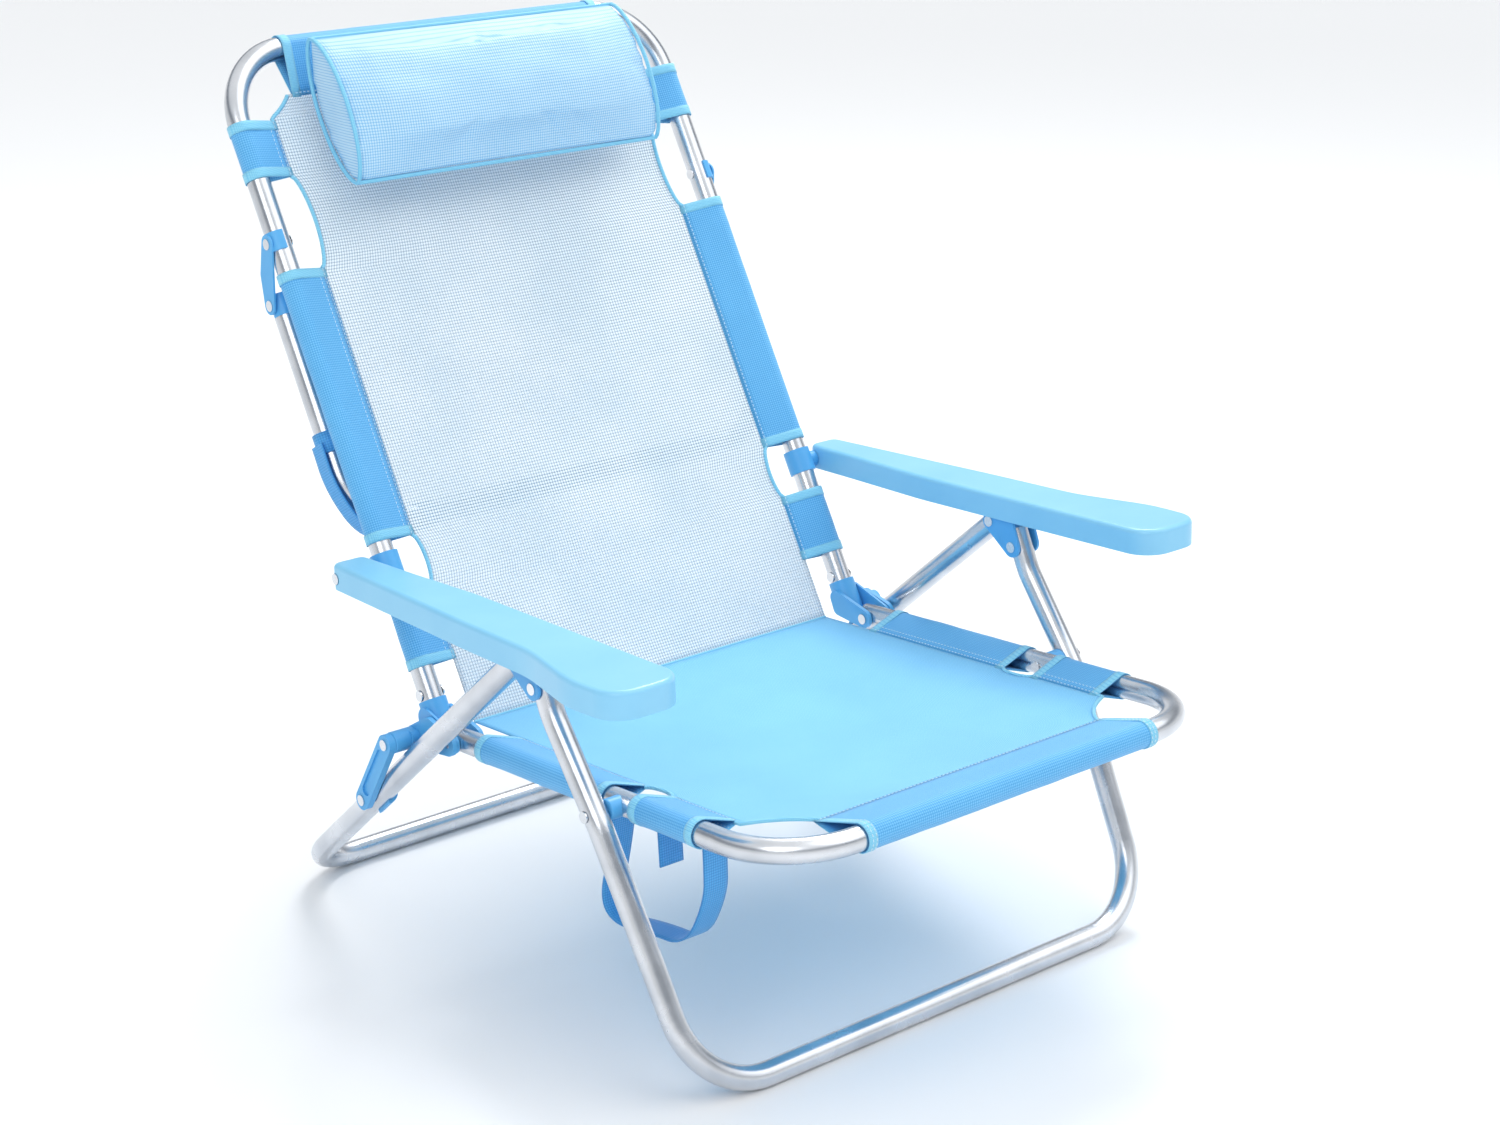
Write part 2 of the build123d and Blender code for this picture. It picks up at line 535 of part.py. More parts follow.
with BuildPart() as armrest:
    with BuildSketch(arm_plane.offset(ARMREST_RISE - ARMREST_DEPTH)):
        add(armrest_plan(0.0))
    extrude(amount=ARMREST_DEPTH)
    up = Axis(arm_plane.origin, arm_plane.z_dir)
    fillet(faces().sort_by(up)[-1].edges(), ARMREST_EDGE)
    # the hollow, open below
    with BuildSketch(arm_plane.offset(ARMREST_RISE - ARMREST_DEPTH)):
        add(armrest_plan(ARMREST_WALL))
    extrude(amount=ARMREST_DEPTH - ARMREST_WALL, mode=Mode.SUBTRACT)
    # the pin's sleeve, between the two walls
    cross_pin(armrest_pivot, arm_in + 1.0, arm_out - 1.0, PIN_SLEEVE_R)
    # the rack
    first_tooth = stud_ahead.X - RACK_PITCH
    rack_length = RACK_PITCH * RACK_TEETH
    rack_tip = stud_ahead.Y + STUD_R + RACK_CLEAR
    rack_x = plate_out + PLATE + 1.5
    with BuildSketch(arm_plane.offset(rack_tip)):
        with Locations((first_tooth + rack_length / 2, rack_x + RACK_W / 2)):
            Rectangle(rack_length, RACK_W)
    extrude(amount=ARMREST_RISE - ARMREST_WALL / 2 - rack_tip)
    for tooth in range(RACK_TEETH + 1):
        cross_pin(on_armrest(first_tooth + tooth * RACK_PITCH, rack_tip), rack_x - 1.0,
                  rack_x + RACK_W + 1.0, RACK_NOTCH_R, Mode.SUBTRACT)
    # a flat seat for the pin's head
    cross_pin(armrest_pivot, arm_out - 0.8, arm_out + 6.0, 5.8, Mode.SUBTRACT)
    rivet_hole(armrest_pivot, arm_in - 4.0, arm_out + 1.0)
write_pair(armrest, "armrest")

with BuildPart() as armrest_pin:
    rivet(armrest_pivot, RAIL_OUT + 1.5, arm_out - 0.6, heads=(False, True))
write_pair(armrest_pin, "armrest_pin")
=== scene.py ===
# %% [markdown]
# # A folding beach chair
# Five bent aluminium tubes carry two slings of open weave, a head pillow, two moulded armrests and two
# straps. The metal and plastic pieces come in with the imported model. This lesson makes the cloth,
# the finishes, the light and the camera around them.

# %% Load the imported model
import bpy
from math import acos, cos, pi, radians, sin, sqrt
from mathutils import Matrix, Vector, noise


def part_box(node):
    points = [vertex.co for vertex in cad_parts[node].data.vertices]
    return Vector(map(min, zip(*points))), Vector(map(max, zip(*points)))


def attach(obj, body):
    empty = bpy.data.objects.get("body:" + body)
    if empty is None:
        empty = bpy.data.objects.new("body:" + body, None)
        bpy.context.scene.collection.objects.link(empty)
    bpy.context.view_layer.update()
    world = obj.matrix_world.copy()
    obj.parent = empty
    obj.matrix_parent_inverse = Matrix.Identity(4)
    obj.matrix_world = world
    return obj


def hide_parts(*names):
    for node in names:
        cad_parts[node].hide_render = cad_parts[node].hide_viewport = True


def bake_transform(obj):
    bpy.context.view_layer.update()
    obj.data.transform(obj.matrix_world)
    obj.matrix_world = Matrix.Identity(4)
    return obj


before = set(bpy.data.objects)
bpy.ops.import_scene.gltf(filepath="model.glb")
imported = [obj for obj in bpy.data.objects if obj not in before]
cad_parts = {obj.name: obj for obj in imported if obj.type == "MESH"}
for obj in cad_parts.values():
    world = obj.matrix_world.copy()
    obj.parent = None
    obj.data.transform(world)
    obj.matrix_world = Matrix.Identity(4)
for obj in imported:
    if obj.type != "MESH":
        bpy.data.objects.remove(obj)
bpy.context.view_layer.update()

# %% [markdown]
# ## Places on the chair
# Everything is placed from the hinge pin. One helper walks along the seat rails, the other along the
# back rails, so that a piece can be described the way a maker would measure it. All sizes are in metres.

# %% Places
pin_low, pin_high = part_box("hinge_pin_left")
HINGE = ((pin_low[1] + pin_high[1]) / 2, (pin_low[2] + pin_high[2]) / 2)
SEAT_RISE = radians(4.5)
BACK_LEAN = radians(30.4)
BACK_OFFSET = 0.031
TUBE_R = 0.011
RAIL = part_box("seat_frame")[1][0] - TUBE_R
SEAT_BAR = 0.441
BACK_BAR = 0.678


def on_seat(x, along, above=0.0):
    """A point given along the seat rail from the hinge pin, and above it."""
    return Vector((x, HINGE[0] - cos(SEAT_RISE) * along + sin(SEAT_RISE) * above,
                   HINGE[1] + sin(SEAT_RISE) * along + cos(SEAT_RISE) * above))


def on_back(x, along, front=0.0):
    """A point given up the back rail, and in front of it."""
    behind = BACK_OFFSET - front
    return Vector((x, HINGE[0] + sin(BACK_LEAN) * along + cos(BACK_LEAN) * behind,
                   HINGE[1] + cos(BACK_LEAN) * along - sin(BACK_LEAN) * behind))


SEAM_S = 0.015
seam = on_back(0.0, SEAM_S)
seam_y = seam.y - HINGE[0]
seam_z = seam.z - HINGE[1]
SEAM_A = -cos(SEAT_RISE) * seam_y + sin(SEAT_RISE) * seam_z
SEAM_UP = sin(SEAT_RISE) * seam_y + cos(SEAT_RISE) * seam_z
print("hinge", HINGE, "rails at", round(RAIL, 4), "seam behind the hinge", round(-SEAM_A, 4))

# %% [markdown]
# ## Camera
# The chair is seen from its front right, from a little above, with a long lens.

# %% Camera
lens = bpy.data.cameras.new("camera")
lens.lens = 67.77
lens.sensor_width = 36.0
camera = bpy.data.objects.new("camera", lens)
bpy.context.scene.collection.objects.link(camera)
camera.location = (-1.5682, -1.9252, 1.2029)
camera.rotation_euler = (radians(70.75), 0.0, radians(-40.17))
bpy.context.scene.camera = camera
print("camera", tuple(camera.location))

# %% [markdown]
# ## Finishes: a helper for colour and one for nodes
# Colours are picked as sRGB hex values, and the shader wants linear ones. One small function adds any
# node with its settings and its links.

# %% Colour and node helpers
def linear(code):
    """An sRGB hex colour as a linear RGBA colour."""
    parts = [int(code[i:i + 2], 16) / 255 for i in (1, 3, 5)]
    return tuple(c / 12.92 if c <= 0.04045 else ((c + 0.055) / 1.055) ** 2.4 for c in parts) + (1.0,)


def add(tree, kind, settings=None, values=None, links=None, ramp=()):
    """Adds a node, sets its properties, sockets and colour stops, and links outputs into it."""
    node = tree.nodes.new(kind)
    for key, value in (settings or {}).items():
        setattr(node, key, value)
    for key, value in (values or {}).items():
        node.inputs[key].default_value = value
    for key, source in (links or {}).items():
        tree.links.new(source, node.inputs[key])
    for number, (place, colour) in enumerate(ramp):
        stops = node.color_ramp.elements
        stop = stops[number] if number < 2 else stops.new(place)
        stop.position = place
        stop.color = linear(colour)
    return node


def finish(name):
    """A new material with its tree and its shader."""
    material = bpy.data.materials.new(name)
    material.use_nodes = True
    return material, material.node_tree, material.node_tree.nodes["Principled BSDF"]


# %% [markdown]
# ## Hard finishes
# Satin anodised aluminium is a metal with a slightly rough, faintly drawn skin. The rivets are bright
# zinc. The armrests and fittings are moulded polypropylene: soft gloss, with a fine grain from the mould.

# %% Metal and plastic
def metal(name, light, dark, rough, rough_end, grain_mm):
    material, tree, shader = finish(name)
    place = add(tree, "ShaderNodeTexCoord").outputs["Object"]
    grain = add(tree, "ShaderNodeTexNoise", values={"Scale": 1000 / grain_mm, "Detail": 4.0},
                links={"Vector": place}).outputs["Fac"]
    cloud = add(tree, "ShaderNodeTexNoise", values={"Scale": 25.0, "Detail": 3.0},
                links={"Vector": place}).outputs["Fac"]
    tone = add(tree, "ShaderNodeValToRGB", links={"Fac": cloud}, ramp=((0.3, dark), (0.7, light)))
    tree.links.new(tone.outputs["Color"], shader.inputs["Base Color"])
    spread = add(tree, "ShaderNodeMapRange", values={"To Min": rough, "To Max": rough_end},
                 links={"Value": cloud})
    tree.links.new(spread.outputs["Result"], shader.inputs["Roughness"])
    bump = add(tree, "ShaderNodeBump", values={"Strength": 0.08, "Distance": 0.0002},
               links={"Height": grain})
    tree.links.new(bump.outputs["Normal"], shader.inputs["Normal"])
    shader.inputs["Metallic"].default_value = 1.0
    return material


def moulded(name, light, dark, rough):
    material, tree, shader = finish(name)
    place = add(tree, "ShaderNodeTexCoord").outputs["Object"]
    cloud = add(tree, "ShaderNodeTexNoise", values={"Scale": 14.0, "Detail": 3.0},
                links={"Vector": place}).outputs["Fac"]
    grain = add(tree, "ShaderNodeTexNoise", values={"Scale": 1000 / 1.1, "Detail": 2.0},
                links={"Vector": place}).outputs["Fac"]
    tone = add(tree, "ShaderNodeValToRGB", links={"Fac": cloud}, ramp=((0.3, dark), (0.7, light)))
    tree.links.new(tone.outputs["Color"], shader.inputs["Base Color"])
    bump = add(tree, "ShaderNodeBump", values={"Strength": 0.18, "Distance": 0.0002},
               links={"Height": grain})
    tree.links.new(bump.outputs["Normal"], shader.inputs["Normal"])
    shader.inputs["Roughness"].default_value = rough
    shader.inputs["IOR"].default_value = 1.49
    return material


ANODISED = metal("satin anodised aluminium", "#DADDE2", "#C4C8CE", 0.20, 0.32, 0.5)
ZINC = metal("bright zinc rivet", "#E6E8EB", "#CFD3D8", 0.16, 0.26, 0.6)
ARMREST = moulded("moulded armrest polypropylene", "#8ACBEC", "#80C4E8", 0.30)
FITTING = moulded("moulded fitting polypropylene", "#58AEE6", "#4CA3DF", 0.38)
hard = {"frame_tube": ANODISED, "rivet_steel": ZINC, "armrest_plastic": ARMREST,
        "fitting_plastic": FITTING}

# %% [markdown]
# ## Woven finishes
# The sling is a coated yarn woven open, so light and whatever is behind show through its pores. The
# threads are drawn from the piece's own UV map, which is in metres, so that the weave follows the cloth.
# The pillow and the bindings have no such map after they are made, so theirs read Object coordinates.
# Threads of the real pitch are about a millimetre apart, so they are drawn a little coarser to show.

# %% Weave
def woven(name, thread, valley, pitch_mm, pore=0.0, rough=0.55, source="UV", shade=("#FFFFFF", "#FFFFFF")):
    material, tree, shader = finish(name)
    place = add(tree, "ShaderNodeTexCoord").outputs[source]
    axes = add(tree, "ShaderNodeSeparateXYZ", links={"Vector": place})

    def ridges(axis, shift):
        turned = add(tree, "ShaderNodeMath", {"operation": "MULTIPLY_ADD"},
                     {1: pi * 1000 / pitch_mm, 2: shift}, {0: axes.outputs[axis]})
        wave = add(tree, "ShaderNodeMath", {"operation": "SINE"}, links={0: turned.outputs[0]})
        return add(tree, "ShaderNodeMath", {"operation": "ABSOLUTE"}, links={0: wave.outputs[0]}).outputs[0]

    warp = ridges("X", 0.0)
    weft = ridges("Y" if source == "UV" else "Z", 0.0)
    height = add(tree, "ShaderNodeMath", {"operation": "MULTIPLY"}, links={0: warp, 1: weft}).outputs[0]
    cloud = add(tree, "ShaderNodeTexNoise", values={"Scale": 9.0, "Detail": 4.0},
                links={"Vector": place}).outputs["Fac"]
    yarn = add(tree, "ShaderNodeValToRGB", links={"Fac": height}, ramp=((0.05, valley), (0.55, thread)))
    tint = add(tree, "ShaderNodeValToRGB", links={"Fac": cloud}, ramp=((0.35, shade[0]), (0.65, shade[1])))
    colour = add(tree, "ShaderNodeMix", {"data_type": "RGBA", "blend_type": "MULTIPLY"},
                 links={6: yarn.outputs["Color"], 7: tint.outputs["Color"]})
    colour.inputs[0].default_value = 1.0
    tree.links.new(colour.outputs[2], shader.inputs["Base Color"])
    bump = add(tree, "ShaderNodeBump", values={"Strength": 0.45, "Distance": 0.0006},
               links={"Height": height})
    tree.links.new(bump.outputs["Normal"], shader.inputs["Normal"])
    if pore:
        solid = add(tree, "ShaderNodeMapRange",
                    values={"From Min": 0.0, "From Max": pore, "To Min": 0.15, "To Max": 1.0},
                    links={"Value": height})
        tree.links.new(solid.outputs["Result"], shader.inputs["Alpha"])
    shader.inputs["Roughness"].default_value = rough
    shader.inputs["Sheen Weight"].default_value = 0.15
    return material


PALE = ("#F2F7FA", "#FFFFFF")
SEAT_WEAVE = woven("coated open weave, seat", "#86D0F6", "#5DB6EA", 2.2, shade=PALE)
# The back is the seat's cloth with its threads drawn near white: painted light, its paler look under the
# light given to it as colour.
BACK_WEAVE_PAINTED_LIGHT = woven("coated open weave, back", "#F1F7FB", "#A3C2DA", 3.0, pore=0.20, shade=PALE)
HEM_WEAVE = woven("coated open weave, doubled hem", "#6FC1F1", "#3F9CDD", 2.2, shade=PALE)
PILLOW_WEAVE = woven("coated weave over fill", "#C2E1F5", "#7DBCE6", 2.6, source="Object", shade=PALE)
TAPE = woven("bias binding", "#8ED6F0", "#6CBFE6", 1.4, source="Object")
STRAP = woven("polypropylene webbing", "#4FA9E6", "#2F8AD0", 2.4)
THREAD, thread_tree, thread_shader = finish("polyester sewing thread")
thread_shader.inputs["Base Color"].default_value = linear("#CFEAF8")
thread_shader.inputs["Roughness"].default_value = 0.6

finished = 0
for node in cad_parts.values():
    old = node.data.materials[0].name if node.data.materials else ""
    slot_name = next((slot for slot in hard if old.startswith(slot)), None)
    if slot_name:
        node.data.materials.clear()
        node.data.materials.append(hard[slot_name])
        finished += 1
print("hard finishes on", finished, "nodes")

# %% [markdown]
# ## Cloth as rows of points
# A sling could be one subdivided plane, but a row of points across the chair at each station gives
# control of its cut-outs and of its sag. The rows are joined into quads, with a UV map in metres, and a
# Solidify modifier gives the cloth its thickness.

# %% Cloth helpers
def settle(piece):
    """Turns a piece and its modifiers into a plain mesh."""
    graph = bpy.context.evaluated_depsgraph_get()
    mesh = bpy.data.meshes.new_from_object(piece.evaluated_get(graph))
    piece.modifiers.clear()
    old = piece.data
    piece.data = mesh
    bpy.data.meshes.remove(old)
    return piece


def cloth(name, rows, material, thick, closed=False, offset=0.0):
    """Joins rows of points into a sheet with a thickness and a UV map in metres."""
    across = len(rows[0])
    spans = across if closed else across - 1
    middle = rows[len(rows) // 2]
    us = [0.0]
    for j in range(spans):
        us.append(us[-1] + (middle[(j + 1) % across] - middle[j]).length)
    vs = [0.0]
    for i in range(len(rows) - 1):
        vs.append(vs[-1] + (rows[i + 1][across // 2] - rows[i][across // 2]).length)
    faces = []
    places = []
    for i in range(len(rows) - 1):
        for j in range(spans):
            k = (j + 1) % across
            faces.append((i * across + j, i * across + k, (i + 1) * across + k, (i + 1) * across + j))
            places += [(us[j], vs[i]), (us[j + 1], vs[i]), (us[j + 1], vs[i + 1]), (us[j], vs[i + 1])]
    mesh = bpy.data.meshes.new(name)
    mesh.from_pydata([tuple(p) for row in rows for p in row], [], faces)
    layer = mesh.uv_layers.new(name="cloth")
    for loop, place in zip(layer.data, places):
        loop.uv = place
    mesh.materials.append(material)
    mesh.polygons.foreach_set("use_smooth", [True] * len(mesh.polygons))
    piece = bpy.data.objects.new(name, mesh)
    bpy.context.scene.collection.objects.link(piece)
    if thick:
        wall = piece.modifiers.new("thickness", "SOLIDIFY")
        wall.thickness = thick
        wall.offset = offset
        settle(piece)
    return piece


def piping(name, routes, radius, material):
    """Makes round cords along the routes, as one piece."""
    curve = bpy.data.curves.new(name, "CURVE")
    curve.dimensions = "3D"
    curve.bevel_depth = radius
    curve.bevel_resolution = 2
    curve.use_fill_caps = True
    for points, cyclic in routes:
        spline = curve.splines.new("POLY")
        spline.points.add(len(points) - 1)
        for target, point in zip(spline.points, points):
            target.co = (*point, 1.0)
        spline.use_cyclic_u = cyclic
    curve.materials.append(material)
    bent = bpy.data.objects.new(name + "_curve", curve)
    bpy.context.scene.collection.objects.link(bent)
    mesh = bpy.data.meshes.new_from_object(bent.evaluated_get(bpy.context.evaluated_depsgraph_get()))
    bpy.data.objects.remove(bent)
    mesh.name = name
    piece = bpy.data.objects.new(name, mesh)
    bpy.context.scene.collection.objects.link(piece)
    return piece


def teardrop(radius, reach, steps=22):
    """The section of a sewn sleeve: a seam at -reach, and cloth from it round the tube at 0."""
    touch = pi - acos(radius / reach)
    points = [(-reach, 0.0)]
    for k in range(1, 4):
        t = k / 4
        points.append((-reach + t * (reach + radius * cos(touch)), t * radius * sin(touch)))
    for k in range(steps + 1):
        angle = touch - 2 * touch * k / steps
        points.append((radius * cos(angle), radius * sin(angle)))
    for k in range(3, 0, -1):
        t = k / 4
        points.append((-reach + t * (reach + radius * cos(touch)), -t * radius * sin(touch)))
    return points


CLOTH_T = 0.0009
STATION_STEP = 0.007
COLUMNS = 60
PULL = 0.0011
SLEEVE_R = TUBE_R + 0.0004
HEM = RAIL - 0.212
SHEET_EDGE = 0.215


def ripple(point, size=0.0006, scale=28.0):
    """A small even unevenness, the same on each run."""
    return size * noise.noise(point * scale)


def sleeve(name, place, stations, reach, radius=SLEEVE_R, thick=CLOTH_T, material=None, rough=0.0006):
    """A sewn sleeve round a tube. place(out, up, station) gives each point of its skin."""
    rows = []
    for station in stations:
        row = []
        for out, up in teardrop(radius, reach):
            point = place(out, up, station)
            swell = 1.0 + max(0.0, ripple(point, rough / radius))
            row.append(place(out * swell if out > 0 else out, up * swell, station))
        rows.append(row)
    piece = cloth(name, rows, material or HEM_WEAVE, thick, closed=True, offset=1.0)
    return piece


def spaced(start, end, step):
    """Evenly spaced stations, both ends among them."""
    count = max(2, round(abs(end - start) / step))
    return [start + (end - start) * k / count for k in range(count + 1)]


# %% [markdown]
# ## Sling edges
# Between the sleeves the sling's edge is bound, and at the corners it is cut round the bend of the
# tube. The cut is an arc about the frame's corner.

# %% Edges
SEAT_SLEEVES = [(0.034, 0.2190), (0.2565, 0.3400)]
BACK_SLEEVES = [(0.077, 0.144), (0.198, 0.461), (0.553, 0.608)]
FRONT_SLEEVE = 0.170
TOP_SLEEVE = 0.185
FRONT_HEM = 0.055
TOP_HEM = 0.050
SEAT_NOTCH = 0.346
BACK_NOTCH = 0.611
SEAT_SAG = 0.012
BACK_SAG = 0.010
BINDING_R = 0.0019
CREASE_R = 0.0016
SEAT_CUT = sqrt((SEAT_BAR - SEAT_NOTCH) ** 2 + (RAIL - SHEET_EDGE) ** 2)
BACK_CUT = sqrt((BACK_BAR - BACK_NOTCH) ** 2 + (RAIL - SHEET_EDGE) ** 2)


def scallop(station, start, end, depth):
    """How far a cut-out bites into the sling's edge."""
    if not start < station < end:
        return 0.0
    return depth * sin(pi * (station - start) / (end - start)) ** 0.5


def seat_edge(station):
    if station > SEAT_NOTCH:
        return RAIL - sqrt(SEAT_CUT ** 2 - (SEAT_BAR - station) ** 2)
    return SHEET_EDGE - scallop(station, 0.219, 0.2565, 0.006)


def back_edge(station):
    if station > BACK_NOTCH:
        return RAIL - sqrt(BACK_CUT ** 2 - (BACK_BAR - station) ** 2)
    return SHEET_EDGE - scallop(station, 0.461, 0.553, 0.010) - scallop(station, 0.144, 0.198, 0.007)


def sag(t, x, depth):
    """The hang of a sling between its rails, none at its ends."""
    return depth * max(0.0, sin(pi * min(max(t, 0.0), 1.0))) ** 0.7 * (1 - (x / SHEET_EDGE) ** 2)


def panel(name, stations, edge, place, depth, material):
    """A sling's panel between its hems, with a sag and slight pull lines."""
    rows = []
    first, last = stations[0], stations[-1]
    for station in stations:
        half = edge(station)
        row = []
        t = (station - first) / (last - first)
        for k in range(COLUMNS + 1):
            x = half * (2 * k / COLUMNS - 1)
            fade = (1 - (x / half) ** 2) * min(1.0, 8 * t, 8 * (1 - t))
            pull = PULL * noise.noise(Vector((x * 5, station * 16, depth * 40))) * fade
            row.append(place(x, station, -sag(t, x, depth) + pull))
        rows.append(row)
    return cloth(name, rows, material, CLOTH_T)


# %% [markdown]
# ## Seat sling
# The panel runs from the crease behind the hinge to the front sleeve. It crosses the hinge, so near its
# back end its shape is blended from the seat rail up to the crease, whose seam is on the hinge pins' body,
# which turns with the fold.

# %% Seat sling
def seat_place(x, station, up):
    t = min(1.0, max(0.0, (0.03 - station) / (0.03 - SEAM_A)))
    return on_seat(x, station, up + SEAM_UP * t)


seat_panel = panel("seat_panel", spaced(SEAM_A, SEAT_BAR - FRONT_HEM + 0.004, STATION_STEP), seat_edge,
                   seat_place, SEAT_SAG, SEAT_WEAVE)


def rail_side(sign, base):
    """Where a side sleeve's skin lies, on the rail of one side."""
    return lambda out, up, station: base(sign * (RAIL + out), station, up)


def front_bar(out, up, x):
    return on_seat(x, SEAT_BAR + out, up)


def top_bar(out, up, x):
    return on_back(x, BACK_BAR + out, up)


seat_sleeves = []
seat_tapes = []
TAPE_W = 0.009
TAPE_R = SLEEVE_R + CLOTH_T + 0.0001


def bound_sleeve(name, place, start, end, reach, body, kept, tapes, step=0.006):
    """A sleeve with a binding round each of its ends."""
    piece = sleeve(name, place, spaced(start, end, step), reach)
    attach(piece, body)
    kept.append(piece)
    for label, low, high in (("a", start - 0.0004, start + TAPE_W), ("b", end - TAPE_W, end + 0.0004)):
        tape = sleeve(f"{name}_binding_{label}", place, spaced(low, high, 0.003), reach + 0.001,
                      radius=TAPE_R, thick=0.0006, material=TAPE, rough=0.0)
        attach(tape, body)
        tapes.append(tape)


for sign, side_name in ((-1, "right"), (1, "left")):
    for number, (start, end) in enumerate(SEAT_SLEEVES):
        bound_sleeve(f"seat_sleeve_{side_name}_{number + 1}", rail_side(sign, on_seat), start, end, HEM,
                     "seat", seat_sleeves, seat_tapes)
bound_sleeve("seat_front_sleeve", front_bar, -FRONT_SLEEVE, FRONT_SLEEVE, FRONT_HEM, "seat",
             seat_sleeves, seat_tapes)

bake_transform(seat_panel)
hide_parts("seat_sling")
print("seat sling:", 1 + len(seat_sleeves) + len(seat_tapes), "pieces")

# %% [markdown]
# ## Back sling
# The same cloth, one layer thick between its hems, so the frame behind it shows through. Its threads are
# drawn near white, paler than the seat's: painted light.

# %% Back sling
back_panel = panel("back_panel", spaced(SEAM_S, BACK_BAR - TOP_HEM + 0.004, STATION_STEP), back_edge,
                   on_back, BACK_SAG, BACK_WEAVE_PAINTED_LIGHT)
back_sleeves = []
back_tapes = []
for sign, side_name in ((-1, "right"), (1, "left")):
    for number, (start, end) in enumerate(BACK_SLEEVES):
        bound_sleeve(f"back_sleeve_{side_name}_{number + 1}", rail_side(sign, on_back), start, end, HEM,
                     "back", back_sleeves, back_tapes)
bound_sleeve("back_top_sleeve", top_bar, -TOP_SLEEVE, TOP_SLEEVE, TOP_HEM, "back",
             back_sleeves, back_tapes)
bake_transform(back_panel)
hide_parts("back_sling")
crease_route = [on_back(x, SEAM_S) for x in spaced(-SHEET_EDGE, SHEET_EDGE, 0.02)]
crease = piping("sling_crease_seam", [(crease_route, False)], CREASE_R, TAPE)
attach(crease, "hinge_pins")
print("back sling:", 2 + len(back_sleeves) + len(back_tapes), "pieces")

# %% [markdown]
# ## Bound edges
# A thin tape closes the raw edge wherever the sling isn't sewn round a tube.

# %% Edge binding
def edge_routes(edge, place, spans):
    routes = []
    for start, end in spans:
        for sign in (-1, 1):
            routes.append(([place(sign * edge(s), s, 0.0) for s in spaced(start, end, 0.003)], False))
    return routes


seat_edges = piping("seat_edge_binding",
                    edge_routes(seat_edge, on_seat, [(0.219, 0.2565), (0.3395, 0.388)]), BINDING_R, TAPE)
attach(seat_edges, "seat")
back_edges = piping("back_edge_binding",
                    edge_routes(back_edge, on_back, [(0.144, 0.198), (0.461, 0.553), (0.607, 0.631)]),
                    BINDING_R, TAPE)
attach(back_edges, "back")

# %% [markdown]
# ## Stitches
# Each hem is closed by a row of stitches. A Geometry Nodes tree lays one small thread along each few
# millimetres of a seam line, which is made here as bare edges, and turns each thread to its line.

# %% Stitch tree
def stitch_tree():
    tree = bpy.data.node_groups.new("stitches", "GeometryNodeTree")
    for label, kind, way in (("Seam", "NodeSocketGeometry", "INPUT"), ("Pitch", "NodeSocketFloat", "INPUT"),
                             ("Length", "NodeSocketFloat", "INPUT"),
                             ("Thickness", "NodeSocketFloat", "INPUT"),
                             ("Thread", "NodeSocketMaterial", "INPUT"),
                             ("Stitches", "NodeSocketGeometry", "OUTPUT")):
        tree.interface.new_socket(name=label, in_out=way, socket_type=kind)
    given = tree.nodes.new("NodeGroupInput").outputs
    line = add(tree, "GeometryNodeMeshToCurve", links={0: given["Seam"]})
    spots = add(tree, "GeometryNodeResampleCurve", {"mode": "LENGTH"},
                links={"Curve": line.outputs[0], "Length": given["Pitch"]})
    tangent = add(tree, "GeometryNodeInputTangent")
    turned = add(tree, "FunctionNodeAlignRotationToVector", {"axis": "Z"},
                 links={"Vector": tangent.outputs[0]})
    shape = add(tree, "GeometryNodeMeshUVSphere", values={"Segments": 6, "Rings": 4, "Radius": 0.5})
    size = add(tree, "ShaderNodeCombineXYZ", links={"X": given["Thickness"], "Y": given["Thickness"],
                                                    "Z": given["Length"]})
    laid = add(tree, "GeometryNodeInstanceOnPoints",
               links={"Points": spots.outputs[0], "Instance": shape.outputs[0],
                      "Rotation": turned.outputs[0], "Scale": size.outputs[0]})
    real = add(tree, "GeometryNodeRealizeInstances", links={0: laid.outputs[0]})
    done = add(tree, "GeometryNodeSetMaterial", links={"Geometry": real.outputs[0],
                                                       "Material": given["Thread"]})
    out = tree.nodes.new("NodeGroupOutput")
    tree.links.new(done.outputs[0], out.inputs[0])
    return tree


STITCHES = stitch_tree()


def stitch(name, lines, body, pitch=0.0042, length=0.0030, thick=0.0008):
    """Lays stitches along lines of points, as one piece on one body."""
    points = []
    edges = []
    for line in lines:
        first = len(points)
        points += [tuple(p) for p in line]
        edges += [(first + k, first + k + 1) for k in range(len(line) - 1)]
    mesh = bpy.data.meshes.new(name)
    mesh.from_pydata(points, edges, [])
    piece = bpy.data.objects.new(name, mesh)
    bpy.context.scene.collection.objects.link(piece)
    modifier = piece.modifiers.new("stitches", "NODES")
    modifier.node_group = STITCHES
    sockets = {item.name: item.identifier for item in STITCHES.interface.items_tree}
    for label, value in (("Pitch", pitch), ("Length", length), ("Thickness", thick), ("Thread", THREAD)):
        modifier[sockets[label]] = value
    settle(piece)
    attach(piece, body)
    print(name, len(piece.data.polygons), "faces")
    return piece


# %% Stitch rows
def hem_lines(base, spans, sign):
    lines = []
    for start, end in spans:
        for inside, up in ((0.0035, 0.0018), (0.0095, 0.0032)):
            for face in (-1, 1):
                lines.append([base(sign * (RAIL - HEM + inside), s, face * up)
                              for s in spaced(start + 0.002, end - 0.002, 0.01)])
    return lines


